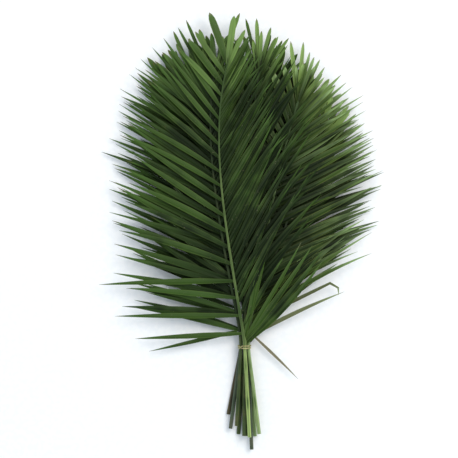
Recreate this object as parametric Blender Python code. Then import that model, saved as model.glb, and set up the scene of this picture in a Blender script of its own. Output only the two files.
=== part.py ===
"""A tied bunch of ten cut feather palm fronds, lying flat on a surface.

+Y runs from the cut stem ends to the leaf tips, +X to the right of someone who looks down on the bunch,
and +Z up from the surface at z = 0. Lengths below are in millimetres and angles in degrees. Places are
measured from the tie, and at the end the bunch is moved so that the origin is the middle of its
footprint.

Each frond is one natural piece: a petiole and rachis with leaflets fused to both sides. The ten fronds
lie one on another like sheets of a stack. A frond's layer gives its height everywhere, so that no two
fronds cross, and near the tie the layers close up into the bundle of stems.
"""

import math
import random
from dataclasses import dataclass

import bmesh
import bpy
from mathutils import Vector

MM = 0.001

# Stems and rachises
STEM_CUT_RADIUS = 2.6
STEM_TIE_RADIUS = 2.25
RACHIS_TIP_RADIUS = 0.7
RACHIS_TAPER_POWER = 0.7
RACHIS_FLATNESS = 0.74
STEM_SIDES = 8
STEM_RING_GAP = 45.0
RISE_RING_GAP = 21.0
RISE_END = 126.0

# The bundle of stems: columns across and rows up, with the lowest row held off the surface by the tie
COLUMN_PITCH = 5.3
ROW_PITCH = 5.0
TIE_LIFT = 1.9
END_ROW_PITCH = 5.55
SETTLE_LENGTH = 55.0
TURN_BEFORE_TIE = 20.0
TURN_LENGTH = 60.0

# The stack of fronds
LAYER_PITCH = 5.2
LAYER_OFFSET = 0.45
LAYER_SPREAD = 105.0
LAYER_THINNING = 0.62
STACK_CENTRE = (0.0, 190.0)
STACK_REACH = 260.0
STACK_NARROWING = 0.55
LAYER_ROOM = 0.46

# Leaflets
LEAFLET_LENGTH = 166.0
LEAFLET_WIDTH = 11.0
WIDTH_TAPER = 0.3
LEAFLET_THICKNESS = 1.2
LEAFLET_FOLD = 13.0
LEAFLET_ROLL = 9.0
TIP_ROLL = 12.0
BASE_REACH = 6.0
BASAL_PART = 0.38
SPACING_CLOSING = 0.3
BLADE_STATIONS = (0.0, 0.34, 0.7)
BLADE_SHARES = (0.58, 1.0, 0.66)
BASAL_WIDTH = 0.88
HOOK_REACH = 13.0

# Over this part of a frond's length the blades grow blunter, up to this last share of the full width
UPPER_PART = (0.55, 0.95)
UPPER_BLADE_SHARE = 0.86

# Where leaflets may start on a side that faces a neighbouring stem of the same row
INNER = 62.0

# Leaflet angles from the rachis, and leaflet lengths along the frond
LOW_ANGLE = 58.0
ANGLE_CLOSING = 14.0
TIP_CLOSING = 36.0
TIP_CLOSING_POWER = 8
LENGTH_TERMS = (0.84, 0.7, -1.25)

# Random differences between leaflets: lowest and highest
ANGLE_RANGE = (-2.5, 2.5)
LENGTH_RANGE = (0.94, 1.06)
WIDTH_RANGE = (0.86, 1.1)
CURVE_RANGE = (-3.0, 10.0)
ROLL_RANGE = (-5.0, 5.0)
FALL_RANGE = (0.0, 0.32)
FIRST_SEED = 100

# The tie: one rubber band wound twice round the stems. Places along it are in turns round the bundle
TIE_THICKNESS = 1.1
TIE_WIDTH = 2.2
TIE_CLEARANCE = 0.35
TIE_TURNS = 2
TIE_STEPS = 48
TIE_OUTLINE_STEPS = 360
TIE_SPACING = 1.35
TIE_SIDES = 4
TIE_CROSSING = 0.434
TIE_CROSSING_HALF = 0.05
TIE_CROSSING_GAP = 0.35
TIE_HUMP_HALF = 0.11

# Colours: linear red, green and blue
LOW_GREEN = (0.03, 0.085, 0.022)
TOP_GREEN = (0.055, 0.14, 0.035)
LEAF_ROUGHNESS = 0.42
RUBBER_COLOUR = (0.62, 0.52, 0.27)
RUBBER_ROUGHNESS = 0.55


@dataclass(frozen=True)
class Side:
    """One side of a frond: its first leaflet's place and angle, the others' spread, and their count."""

    first: float
    basal: float
    spread: float
    count: int


@dataclass(frozen=True)
class Frond:
    """One frond: its layer in the stack, its place in the bundle, its route and its rows of leaflets."""

    layer: int
    row: int
    column: int
    lean: float
    bend: float
    length: float
    cut: tuple
    left: Side
    right: Side


FRONDS = (
    Frond(1, 0, 0, -4.0, -6.0, 378.0, (-8.7, -120.8), Side(INNER, 60, 1.0, 14), Side(INNER, 56, 1.1, 13)),
    Frond(2, 0, 1, 13.0, 8.0, 336.0, (15.1, -123.6), Side(INNER, 58, 1.0, 11), Side(5, 35, 0.94, 20)),
    Frond(3, 0, -1, -12.5, -6.0, 366.0, (-23.1, -93.4), Side(24, 60, 0.95, 20), Side(INNER, 50, 1.1, 11)),
    Frond(4, 1, 0, 6.0, 2.0, 366.0, (3.2, -122.9), Side(INNER, 60, 1.1, 13), Side(INNER, 52, 0.9, 13)),
    Frond(5, 1, -1, -8.0, -9.0, 374.0, (-19.9, -112.6), Side(22, 66, 0.9, 20), Side(INNER, 52, 1.0, 12)),
    Frond(6, 1, 1, 18.0, 6.0, 308.0, (10.4, -141.4), Side(INNER, 58, 0.9, 11), Side(19, 27, 0.85, 21)),
    Frond(7, 2, 1, 10.0, 8.0, 344.0, (20.6, -119.5), Side(INNER, 56, 1.0, 12), Side(13, 32, 1.0, 22)),
    Frond(8, 2, 0, 1.0, 8.0, 378.0, (-0.8, -122.2), Side(INNER, 58, 1.0, 13), Side(INNER, 36, 0.64, 20)),
    Frond(9, 2, -1, -11.0, 20.0, 378.0, (-11.5, -108.5), Side(23, 80, 0.96, 20), Side(72, 40, 0.7, 20)),
    Frond(10, 3, 0, -9.7, 24.0, 390.0, (6.5, -123.6), Side(19, 84, 0.98, 20), Side(8, 32, 0.66, 28)),
)

# Leaflets that stray from the rule: (layer, side, index) gives angle, length, width and bend of the tip
STRAYS = {
    (6, 1, 0): (119.0, 86.0, 4.0, 0.0),
    (6, 1, 1): (46.0, 172.0, 5.0, 112.0),
    (7, 1, 0): (56.0, 140.0, 6.0, 0.0),
    (7, 1, 1): (27.0, 116.0, 6.5, 0.0),
    (9, -1, 0): (96.0, 122.0, 6.0, 0.0),
    (10, -1, 1): (80.0, 166.0, 8.0, 0.0),
    (10, -1, 3): (80.0, 180.0, 8.5, 0.0),
    (10, -1, 16): (44.0, 80.0, 8.0, 0.0),
    (10, -1, 17): (45.0, 74.0, 9.5, 0.0),
    (10, -1, 18): (47.0, 66.0, 8.0, 0.0),
    (10, -1, 19): (31.0, 70.0, 11.0, 0.0),
    (10, 1, 0): (17.0, 112.0, 7.0, 0.0),
    (10, 1, 1): (33.0, 106.0, 7.5, 0.0),
    (10, 1, 26): (11.0, 58.0, 7.0, 0.0),
    (10, 1, 27): (-5.0, 62.0, 9.5, 0.0),
}


def smoothstep(value):
    """0 below 0, 1 above 1, and an even S between."""
    value = min(max(value, 0.0), 1.0)
    return value * value * (3 - 2 * value)


def mix(low, high, share):
    """The value that lies this share of the way from low to high."""
    return low + (high - low) * share


def layer_pitch(x, y):
    """Height from one frond to the next: largest in the middle of the pile, less towards the tips."""
    away = math.hypot(x - STACK_CENTRE[0], STACK_NARROWING * (y - STACK_CENTRE[1]))
    return LAYER_PITCH * (1 - LAYER_THINNING * smoothstep(away / STACK_REACH))


def stem_height(frond, y):
    """Height of a stem's centre below the tie: level rows that open a little, down to the surface."""
    tie_z = TIE_LIFT + STEM_TIE_RADIUS + frond.row * ROW_PITCH
    end_z = STEM_CUT_RADIUS + frond.row * END_ROW_PITCH
    return mix(tie_z, end_z, smoothstep(-y / SETTLE_LENGTH))


def layer_height(frond, x, y):
    """Height of a frond's middle surface over the point (x, y)."""
    near = stem_height(frond, min(y, 0.0))
    far = (frond.layer - LAYER_OFFSET) * layer_pitch(x, y)
    return mix(near, far, smoothstep(y / LAYER_SPREAD))


class Route:
    """A frond's centre line in plan, followed from the tie up to its tip and down to its cut end."""

    STEP = 1.0

    def __init__(self, frond):
        self.frond = frond
        self.start = frond.column * COLUMN_PITCH
        self.stem = math.hypot(frond.cut[0] - self.start, frond.cut[1])
        self.stem_heading = math.degrees(math.atan2(self.start - frond.cut[0], -frond.cut[1]))
        self.up = self.follow(frond.length, self.STEP)
        self.down = self.follow(self.stem, -self.STEP)
        self.stations = self.place_stations()
        self.knots = [self.raised(self.at(s)) for s in self.stations]

    def heading(self, s):
        """Angle of the route from +Y, to the right, at s from the tie."""
        frond = self.frond
        turned = smoothstep((s + TURN_BEFORE_TIE) / TURN_LENGTH)
        held = mix(self.stem_heading, frond.lean, turned)
        return held + frond.bend * (max(s, 0.0) / frond.length) ** 3

    def follow(self, reach, step):
        """Points every STEP from the tie, found by walking along the heading."""
        points = [Vector((self.start, 0.0))]
        for i in range(math.ceil(reach / abs(step)) + 1):
            angle = math.radians(self.heading((i + 0.5) * step))
            points.append(points[-1] + step * Vector((math.sin(angle), math.cos(angle))))
        return points

    def at(self, s):
        """The point of the smooth route in plan, at s from the tie."""
        points = self.up if s >= 0 else self.down
        place = abs(s) / self.STEP
        i = min(int(place), len(points) - 2)
        return points[i].lerp(points[i + 1], place - i)

    def place_stations(self):
        """Places of the stem's rings, closest where the stems rise out of the bundle."""
        below = math.ceil(self.stem / STEM_RING_GAP)
        rise = round(RISE_END / RISE_RING_GAP)
        above = math.ceil((self.frond.length - RISE_END) / STEM_RING_GAP)
        stations = [-self.stem * (1 - i / below) for i in range(below)]
        stations += [RISE_END * i / rise for i in range(rise)]
        return stations + [mix(RISE_END, self.frond.length, i / above) for i in range(above + 1)]

    def raised(self, point):
        """A point of the plan lifted to the frond's height there."""
        return Vector((point.x, point.y, layer_height(self.frond, point.x, point.y)))

    def axis(self, s):
        """The point on the straight pieces between the stem's rings, at s from the tie."""
        i = max(k for k, station in enumerate(self.stations[:-1]) if station <= s or k == 0)
        share = (s - self.stations[i]) / (self.stations[i + 1] - self.stations[i])
        return self.knots[i].lerp(self.knots[i + 1], share)


def rachis_radius(route, s):
    """Half width of the stem: tapering slowly to the tie, and faster along the rachis."""
    if s < 0:
        return mix(STEM_TIE_RADIUS, STEM_CUT_RADIUS, smoothstep(-s / SETTLE_LENGTH))
    share = s / route.frond.length
    return mix(STEM_TIE_RADIUS, RACHIS_TIP_RADIUS, share**RACHIS_TAPER_POWER)


def add_loft(mesh, rings):
    """Skins closed rings of equal count, with a flat cap at both ends."""
    loops = [[mesh.verts.new(Vector(co) * MM) for co in ring] for ring in rings]
    count = len(loops[0])
    for low, high in zip(loops, loops[1:]):
        for i in range(count):
            j = (i + 1) % count
            mesh.faces.new((low[i], low[j], high[j], high[i]))
    mesh.faces.new(loops[0][::-1])
    mesh.faces.new(loops[-1])


def object_from(mesh, name, collection):
    """A mesh object of this bmesh, linked to the collection."""
    data = bpy.data.meshes.new(name)
    mesh.to_mesh(data)
    mesh.free()
    made = bpy.data.objects.new(name, data)
    collection.objects.link(made)
    return made


def stem_ring(route, s):
    """One oval ring of the petiole or rachis, with a flat side underneath."""
    centre = route.at(s)
    angle = math.radians(route.heading(s))
    across = Vector((math.cos(angle), -math.sin(angle)))
    radius = rachis_radius(route, s)
    flat = mix(1.0, RACHIS_FLATNESS, smoothstep(s / LAYER_SPREAD))
    height = layer_height(route.frond, centre.x, centre.y)
    ring = []
    for i in range(STEM_SIDES):
        turn = 2 * math.pi * (i + 0.5) / STEM_SIDES
        corner = radius / math.cos(math.pi / STEM_SIDES)
        side = centre + across * corner * math.cos(turn)
        ring.append((side.x, side.y, height + flat * corner * math.sin(turn)))
    return ring


def build_stem(route, collection, name):
    """The petiole and rachis as one tapering rod, from the cut end to the tip."""
    mesh = bmesh.new()
    add_loft(mesh, [stem_ring(route, s) for s in route.stations])
    bmesh.ops.recalc_face_normals(mesh, faces=mesh.faces)
    return object_from(mesh, name, collection)


def leaflet_angle(side, share):
    """Angle between leaflet and rachis: wide in the lower half, closing up towards the tip."""
    closing = ANGLE_CLOSING * share + TIP_CLOSING * share**TIP_CLOSING_POWER
    rule = side.spread * (LOW_ANGLE - closing)
    return mix(side.basal, rule, smoothstep(share / BASAL_PART))


def leaflet_length(share):
    """Length of the leaflets: longest a quarter of the way up, and a third of that at the tip."""
    return LEAFLET_LENGTH * sum(term * share**power for power, term in enumerate(LENGTH_TERMS))


def blade_section(half, roll):
    """The four corners of a folded blade as (across, up): left edge, rib top, right edge, rib base."""
    rise = half * math.tan(math.radians(LEAFLET_FOLD))
    thick = LEAFLET_THICKNESS / 2
    corners = ((-half, rise / 2), (0, thick - rise / 2), (half, rise / 2), (0, -thick - rise / 2))
    level = math.cos(roll)
    tilt = math.sin(roll)
    return [(x * level - z * tilt, x * tilt + z * level) for x, z in corners]


def blade_ring(frond, centre, heading, half, roll, drop):
    """One ring of a blade, held inside the height that its frond's layer has there."""
    across = Vector((math.cos(heading), -math.sin(heading)))
    pitch = layer_pitch(centre.x, centre.y)
    room = LAYER_ROOM * pitch - abs(drop)
    section = blade_section(half, roll)
    squeeze = min(1.0, room / max(abs(z) for _, z in section))
    ring = []
    for x, z in section:
        spot = centre + across * x
        ring.append((spot.x, spot.y, layer_height(frond, spot.x, spot.y) + drop + z * squeeze))
    return ring


def add_blade(mesh, root, rings, tip):
    """Skins a blade from its root point to its tip. Both faces of each half are split alike."""
    loops = [[mesh.verts.new(Vector(co) * MM) for co in ring] for ring in rings]
    for (l0, t0, r0, b0), (l1, t1, r1, b1) in zip(loops, loops[1:]):
        for quad in ((l0, t0, t1, l1), (l0, b0, b1, l1), (r0, t0, t1, r1), (r0, b0, b1, r1)):
            mesh.faces.new((quad[0], quad[1], quad[2]))
            mesh.faces.new((quad[0], quad[2], quad[3]))
    for end, loop in ((root, loops[0]), (tip, loops[-1])):
        point = mesh.verts.new(Vector(end) * MM)
        for i in range(4):
            mesh.faces.new((loop[i], loop[(i + 1) % 4], point))


def build_leaflet(route, side, index, draw, collection):
    """One leaflet: a folded, tapering blade whose root is sunk in the rachis."""
    frond = route.frond
    hand = frond.left if side < 0 else frond.right
    step = index / (hand.count - 1)
    spaced = (1 + SPACING_CLOSING) * step - SPACING_CLOSING * step**2
    s = mix(hand.first, frond.length - RACHIS_TIP_RADIUS, spaced)
    share = s / frond.length
    angle = leaflet_angle(hand, share) + draw.uniform(*ANGLE_RANGE)
    length = leaflet_length(share) * draw.uniform(*LENGTH_RANGE)
    width = LEAFLET_WIDTH * (1 - WIDTH_TAPER * share) * draw.uniform(*WIDTH_RANGE)
    width *= mix(BASAL_WIDTH, 1.0, smoothstep(share / BASAL_PART))
    curve = draw.uniform(*CURVE_RANGE)
    roll = side * math.radians(LEAFLET_ROLL + TIP_ROLL * share + draw.uniform(*ROLL_RANGE))
    fall = draw.uniform(*FALL_RANGE)
    hook = 0.0
    if (frond.layer, side, index) in STRAYS:
        angle, length, width, hook = STRAYS[(frond.layer, side, index)]
    if frond.layer == 1:
        fall = 1 - LAYER_OFFSET
    heading = math.radians(route.heading(s)) + side * math.radians(angle)
    root = route.axis(s)
    centre = root.xy + BASE_REACH * Vector((math.sin(heading), math.cos(heading)))
    rings = []
    before = 0.0
    upper = smoothstep((share - UPPER_PART[0]) / (UPPER_PART[1] - UPPER_PART[0]))
    shares = (*BLADE_SHARES[:-1], mix(BLADE_SHARES[-1], UPPER_BLADE_SHARE, upper))
    for station, part in zip(BLADE_STATIONS, shares):
        turned = heading + side * math.radians(curve) * station
        centre = centre + length * (station - before) * Vector((math.sin(turned), math.cos(turned)))
        drop = -fall * layer_pitch(centre.x, centre.y) * station**2 * 0.5
        if station == BLADE_STATIONS[-1]:
            turned += side * math.radians(hook) / 2
        rings.append(blade_ring(frond, centre, turned, width / 2 * part, roll, drop))
        before = station
    turned = heading + side * math.radians(curve + hook)
    reach = HOOK_REACH if hook else length * (1 - before)
    tip = centre + reach * Vector((math.sin(turned), math.cos(turned)))
    tip_z = layer_height(frond, tip.x, tip.y) - fall * layer_pitch(tip.x, tip.y)
    mesh = bmesh.new()
    add_blade(mesh, root, rings, (tip.x, tip.y, tip_z))
    bmesh.ops.recalc_face_normals(mesh, faces=mesh.faces)
    return object_from(mesh, "leaflet", collection)


def apply_modifiers(made):
    """Replaces the object's mesh by the mesh that its modifiers give."""
    graph = bpy.context.evaluated_depsgraph_get()
    result = bpy.data.meshes.new_from_object(made.evaluated_get(graph))
    made.modifiers.clear()
    made.data = result


def build_frond(frond, material):
    """A whole frond: the stem joined with its leaflets into one solid."""
    name = f"frond_{frond.layer:02d}"
    route = Route(frond)
    stem = build_stem(route, bpy.context.scene.collection, name)
    leaflets = bpy.data.collections.new(name + "_leaflets")
    bpy.context.scene.collection.children.link(leaflets)
    draw = random.Random(FIRST_SEED + frond.layer)
    for side, hand in ((-1, frond.left), (1, frond.right)):
        for index in range(hand.count):
            build_leaflet(route, side, index, draw, leaflets)
    union = stem.modifiers.new("leaflets", "BOOLEAN")
    union.operation = "UNION"
    union.operand_type = "COLLECTION"
    union.collection = leaflets
    union.solver = "EXACT"
    apply_modifiers(stem)
    for leaflet in list(leaflets.objects):
        bpy.data.objects.remove(leaflet)
    bpy.data.collections.remove(leaflets)
    stem.data.materials.clear()
    stem.data.materials.append(material)
    return stem


def tie_outline():
    """Evenly spaced points and outward directions of the line that a band takes round the stems."""
    reach = STEM_TIE_RADIUS / math.cos(math.pi / STEM_SIDES) + TIE_CLEARANCE + TIE_THICKNESS / 2
    stems = [
        Vector((frond.column * COLUMN_PITCH, stem_height(frond, 0.0))) for frond in FRONDS
    ]
    outs = []
    points = []
    for i in range(TIE_OUTLINE_STEPS):
        turn = 2 * math.pi * i / TIE_OUTLINE_STEPS
        out = Vector((math.cos(turn), math.sin(turn)))
        outermost = max(stems, key=lambda stem: stem.dot(out))
        outs.append(out)
        points.append(outermost + reach * out)
    sides = [(after - spot).length for spot, after in zip(points, points[1:] + points[:1])]
    step = sum(sides) / TIE_STEPS
    even = []
    walked = 0.0
    i = 0
    for k in range(TIE_STEPS):
        while walked + sides[i] < k * step:
            walked += sides[i]
            i += 1
        share = (k * step - walked) / sides[i]
        j = (i + 1) % TIE_OUTLINE_STEPS
        even.append((points[i].lerp(points[j], share), outs[i].lerp(outs[j], share).normalized()))
    return even


def tie_offsets(lap):
    """How far the band lies along the stems and outward, this many turns after it crosses over itself."""
    nearest = round(lap)
    swing = mix(-1.0, 1.0, smoothstep(0.5 + (lap - nearest) / (2 * TIE_CROSSING_HALF)))
    hand = 1 if nearest % TIE_TURNS == 0 else -1
    away = abs(math.remainder(lap, TIE_TURNS))
    hump = smoothstep((TIE_HUMP_HALF - away) / (TIE_HUMP_HALF - TIE_CROSSING_HALF))
    return hand * swing * TIE_SPACING, hump * (TIE_THICKNESS + TIE_CROSSING_GAP)


def build_tie(material):
    """The rubber band: one closed strand that goes round twice, and crosses over itself at top left."""
    outline = tie_outline()
    mesh = bmesh.new()
    loops = []
    for i in range(TIE_TURNS * TIE_STEPS):
        spot, out = outline[i % TIE_STEPS]
        along, outward = tie_offsets(i / TIE_STEPS - TIE_CROSSING)
        loop = []
        for k in range(TIE_SIDES):
            angle = 2 * math.pi * k / TIE_SIDES
            radial = spot + out * (outward + TIE_THICKNESS / 2 * math.sin(angle))
            y = along + TIE_WIDTH / 2 * math.cos(angle)
            loop.append(mesh.verts.new(Vector((radial.x, y, radial.y)) * MM))
        loops.append(loop)
    for low, high in zip(loops, loops[1:] + loops[:1]):
        for k in range(TIE_SIDES):
            j = (k + 1) % TIE_SIDES
            mesh.faces.new((low[k], low[j], high[j], high[k]))
    bmesh.ops.recalc_face_normals(mesh, faces=mesh.faces)
    tie = object_from(mesh, "tie", bpy.context.scene.collection)
    tie.data.materials.append(material)
    return tie


def make_material(name, colour, roughness):
    """A plain Principled material of one colour."""
    material = bpy.data.materials.new(name)
    material.use_nodes = True
    shader = material.node_tree.nodes["Principled BSDF"]
    shader.inputs["Base Color"].default_value = (*colour, 1.0)
    shader.inputs["Roughness"].default_value = roughness
    shader.inputs["Metallic"].default_value = 0.0
    return material


def centre_footprint(objects):
    """Moves all pieces so that the middle of their footprint is at the origin."""
    corners = [vertex.co for made in objects for vertex in made.data.vertices]
    middle = [(min(co[i] for co in corners) + max(co[i] for co in corners)) / 2 for i in range(2)]
    for made in objects:
        for vertex in made.data.vertices:
            vertex.co -= Vector((middle[0], middle[1], 0.0))


def main():
    for old in list(bpy.data.objects):
        bpy.data.objects.remove(old)
    pieces = []
    for frond in FRONDS:
        colour = [mix(*ends, frond.layer / len(FRONDS)) for ends in zip(LOW_GREEN, TOP_GREEN)]
        green = make_material(f"frond_green_{frond.layer:02d}", colour, LEAF_ROUGHNESS)
        pieces.append(build_frond(frond, green))
    pieces.append(build_tie(make_material("natural_rubber", RUBBER_COLOUR, RUBBER_ROUGHNESS)))
    centre_footprint(pieces)


main()
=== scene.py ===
"""A tied bunch of ten feather palm fronds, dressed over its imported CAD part, on a white ground.

The camera looks straight down. +Y runs from the cut ends to the leaf tips. Sizes are millimetres and degrees
from the tie, as in the CAD source, and a mesh goes into the frame and into metres when it is made. A frond's
layer gives its height everywhere, so the leaflets here lie in the CAD's own stack and never cross.
"""

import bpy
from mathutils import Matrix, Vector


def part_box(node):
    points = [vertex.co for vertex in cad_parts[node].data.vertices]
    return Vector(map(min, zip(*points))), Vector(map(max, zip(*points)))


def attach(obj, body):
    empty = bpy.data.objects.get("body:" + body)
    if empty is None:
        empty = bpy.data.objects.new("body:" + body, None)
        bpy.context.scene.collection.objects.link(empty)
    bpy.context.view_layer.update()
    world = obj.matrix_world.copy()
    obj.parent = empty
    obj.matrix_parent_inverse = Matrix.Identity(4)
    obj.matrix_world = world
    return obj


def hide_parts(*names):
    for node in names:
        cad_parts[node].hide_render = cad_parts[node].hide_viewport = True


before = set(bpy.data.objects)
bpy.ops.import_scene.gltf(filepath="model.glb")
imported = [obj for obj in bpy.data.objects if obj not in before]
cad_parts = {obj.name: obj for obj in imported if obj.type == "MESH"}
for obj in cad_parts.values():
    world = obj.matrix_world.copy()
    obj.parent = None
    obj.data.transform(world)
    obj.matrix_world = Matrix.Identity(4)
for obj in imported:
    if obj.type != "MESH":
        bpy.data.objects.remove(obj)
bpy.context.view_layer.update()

import logging
import math
import random
from dataclasses import dataclass, field
from enum import Enum

import bpy
import numpy as np

# Arrays of points have x and y on their last axis
Array = np.ndarray
Pair = tuple[float, float]
Material = bpy.types.Material
Node = bpy.types.Node
Object = bpy.types.Object
MM = 0.001
QUARTER_TURN = math.pi / 2
log = logging.getLogger("palm_bunch")


def smoothstep(value: Array) -> Array:
    """An even S from 0 to 1: three times the held value's square less twice its cube."""
    held = np.clip(value, 0.0, 1.0)
    return held * held * (3.0 - 2.0 * held)


def mix(low: Array, high: Array, share: Array) -> Array:
    """The value this share of the way from low to high: low plus share times the difference."""
    return low + (high - low) * share


def forward(heading: Array) -> Array:
    """Unit steps along headings from +Y: sine and cosine. A quarter turn more steps to the right."""
    return np.stack([np.sin(heading), np.cos(heading)], axis=-1)


def linear(colour: str) -> tuple[float, ...]:
    """An sRGB hex colour as linear red, green and blue, by the sRGB curve, with an alpha of 1."""
    shares = [int(colour[i : i + 2], 16) / 255.0 for i in (1, 3, 5)]
    return (*(c / 12.92 if c <= 0.04045 else ((c + 0.055) / 1.055) ** 2.4 for c in shares), 1.0)


class NodeSheet:
    """A new material's node tree, to which each method adds nodes with their settings and links."""

    def __init__(self, name: str) -> None:
        """Makes the material, empties its tree and reads the object's coordinates.

        Args:
            name: the material's name.
        """
        self.material = bpy.data.materials.new(name)
        self.material.use_nodes = True
        self.tree = self.material.node_tree
        self.tree.nodes.clear()
        self.place = (self.add("ShaderNodeTexCoord"), "Object")

    def add(self, kind: str, settings: dict | None = None, inputs: dict | None = None) -> Node:
        """Adds one node.

        Args:
            kind: the node's type name.
            settings: its attributes.
            inputs: by socket, a constant, a node (its first output in use) or (node, output name).

        Returns:
            The node.
        """
        node = self.tree.nodes.new(kind)
        for key, value in (settings or {}).items():
            setattr(node, key, value)
        for key, value in (inputs or {}).items():
            sockets = [s for s in node.inputs if s.enabled]
            socket = sockets[key] if isinstance(key, int) else next(s for s in sockets if s.name == key)
            source = value if isinstance(value, tuple) else (value, "")
            if isinstance(source[0], Node):
                outputs = [s for s in source[0].outputs if s.enabled]
                self.tree.links.new(next(s for s in outputs if source[1] in ("", s.name)), socket)
            else:
                socket.default_value = value
        return node

    def attribute(self, name: str) -> tuple[Node, str]:
        """A number that the mesh carries, as a node and its output's name."""
        return (self.add("ShaderNodeAttribute", {"attribute_name": name}), "Fac")

    def math(self, operation: str, *values: object) -> Node:
        """One arithmetic node with its inputs in order."""
        return self.add("ShaderNodeMath", {"operation": operation}, dict(enumerate(values)))

    def ramp(self, value: object, start: float, end: float, low: float = 0.0, high: float = 1.0) -> Node:
        """A number's eased change from low at start to high at end, held beyond both."""
        names = {"Value": value, "From Min": start, "From Max": end, "To Min": low, "To Max": high}
        return self.add("ShaderNodeMapRange", {"interpolation_type": "SMOOTHSTEP"}, names)

    def blend(self, share: object, under: object, over: str) -> Node:
        """Lays a hex colour over a node's or hex colour, as much as the share says."""
        below = linear(under) if isinstance(under, str) else under
        return self.add("ShaderNodeMix", {"data_type": "RGBA"}, {0: share, "A": below, "B": linear(over)})

    def noise(self, size: float, detail: float = 2.0, place: object = None) -> Node:
        """Soft random patches of about this size in millimetres, over the object or other coordinates."""
        inputs = {"Vector": place or self.place, "Scale": 1.0 / (size * MM), "Detail": detail}
        return self.add("ShaderNodeTexNoise", None, inputs)

    def finish(
        self, colour: object, roughness: object, height: object, depth: float, ior: float, shine: float
    ) -> Material:
        """Adds the bump, the shader and the output.

        Args:
            colour: base colour.
            roughness: its roughness.
            height: the bump from 0 to 1.
            depth: the bump's full height in millimetres.
            ior: index of refraction.
            shine: share of the reflection that the fine texture leaves.

        Returns:
            The material.
        """
        bump = self.add("ShaderNodeBump", None, {"Height": height, "Distance": depth * MM, "Strength": 1.0})
        values = {"Base Color": colour, "Roughness": roughness, "IOR": ior, "Normal": bump}
        values |= {"Specular IOR Level": 0.5 * shine}
        shader = self.add("ShaderNodeBsdfPrincipled", None, values)
        self.add("ShaderNodeOutputMaterial", None, {"Surface": shader})
        return self.material


@dataclass(frozen=True)
class LeafFinish:
    """Living palm leaflet with a thin natural wax. Gives a satin green with faint lengthwise ribs."""

    name: str
    dark: str
    light: str
    # Colour of the painted shade at leaflet bases deep in the pile
    base: str
    tip: str
    rib: str
    margin: str
    dry: str
    margin_share: float
    rib_share: float
    dry_share: float
    roughness: float
    shine: float
    base_reach: float
    base_share: float
    # Light green near the frond's end: partly new growth, partly painted light through the thin leaflets
    fresh: str = "#86A65A"
    sunk: float = 0.7
    # Greyer colour of one half of each leaflet: painted sheen, the sky's reflection on that half of the fold
    wax_and_sheen: str = "#54683E"
    wax_and_sheen_share: float = 0.26
    patch: float = 34.0
    fleck: float = 3.4
    veins: float = 16.0

    def build(self) -> Material:
        """Makes the material from the mesh numbers along, across, tone, young and deep.

        Returns:
            The material.
        """
        sheet = NodeSheet(self.name)
        along, across, tone, young_and_lit, deep = map(sheet.attribute, ("along", "across", "tone", "young_and_lit", "deep"))
        shade = sheet.math("ADD", tone, sheet.ramp(sheet.noise(self.patch), 0.3, 0.7, -0.22, 0.22))
        # A second number from the tone makes about one leaflet in three yellower than its neighbours
        second = sheet.math("FRACT", sheet.math("MULTIPLY", tone, 7.3))
        off_rib = sheet.math("ABSOLUTE", across)
        # Real veins are 0.4 mm apart. They are drawn about 1 mm apart so that the picture can hold them
        wave = sheet.math("SINE", sheet.math("MULTIPLY", across, self.veins))
        flecks = sheet.noise(self.fleck, 3.0)
        # Painted shade at a leaflet's base, beyond the first leaflets by the tie, where it lies deep in the
        # pile
        base = sheet.math("MULTIPLY", sheet.ramp(along, 0.0, self.base_reach, self.base_share, 0.0), deep)
        ripe = sheet.ramp(tone, 0.55, 0.8, 0.0, self.dry_share)
        colour = sheet.blend(sheet.ramp(shade, 0.0, 1.0), self.dark, self.light)
        # Coats from the lowest up: colour, the number that it follows, where it starts and ends, two shares
        for over, *course in (
            (self.tip, second, 0.6, 1.0, 0.0, 0.32),
            # Towards its end a leaflet turns lighter and yellower: its own colour, with painted light on the
            # thin tips
            (self.tip, along, 0.62, 1.0, 0.0, 0.85),
            # Leaflets near the frond's end are lighter, each by a different amount: partly new growth, partly
            # painted light through the thin leaflets
            (self.fresh, young_and_lit, 0.4, 0.95, 0.0, 0.7),
            # The half towards the frond's tip is greyer: painted sheen, the sky's reflection painted on that
            # half of the fold
            (self.wax_and_sheen, across, -0.15, 0.25, 0.0, self.wax_and_sheen_share),
            (self.rib, wave, 0.2, 1.0, 0.0, 0.16),
            (self.rib, off_rib, 0.0, 0.16, self.rib_share, 0.0),
            (self.margin, off_rib, 0.72, 1.0, 0.0, self.margin_share),
            # Dark leaflets lose the light lines
            (self.dark, shade, -0.1, 0.6, self.sunk, 0.0),
        ):
            colour = sheet.blend(sheet.ramp(*course), colour, over)
        # The bases that lie deep in the pile also lose the light lines and turn dark: painted shade under the
        # leaflets above
        colour = sheet.blend(base, colour, self.base)
        dried = sheet.math("MULTIPLY", sheet.ramp(along, 0.9, 1.0), ripe)
        for share in (sheet.ramp(tone, 1.5, 2.0, 0.0, 0.9), sheet.ramp(flecks, 0.64, 0.78, 0.0, 0.35), dried):
            colour = sheet.blend(share, colour, self.dry)
        rough = sheet.ramp(flecks, 0.3, 0.7, self.roughness - 0.05, self.roughness + 0.07)
        height = sheet.math("MULTIPLY_ADD", wave, 0.3, 0.5)
        return sheet.finish(colour, rough, height, depth=0.09, ior=1.4, shine=self.shine)


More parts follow.
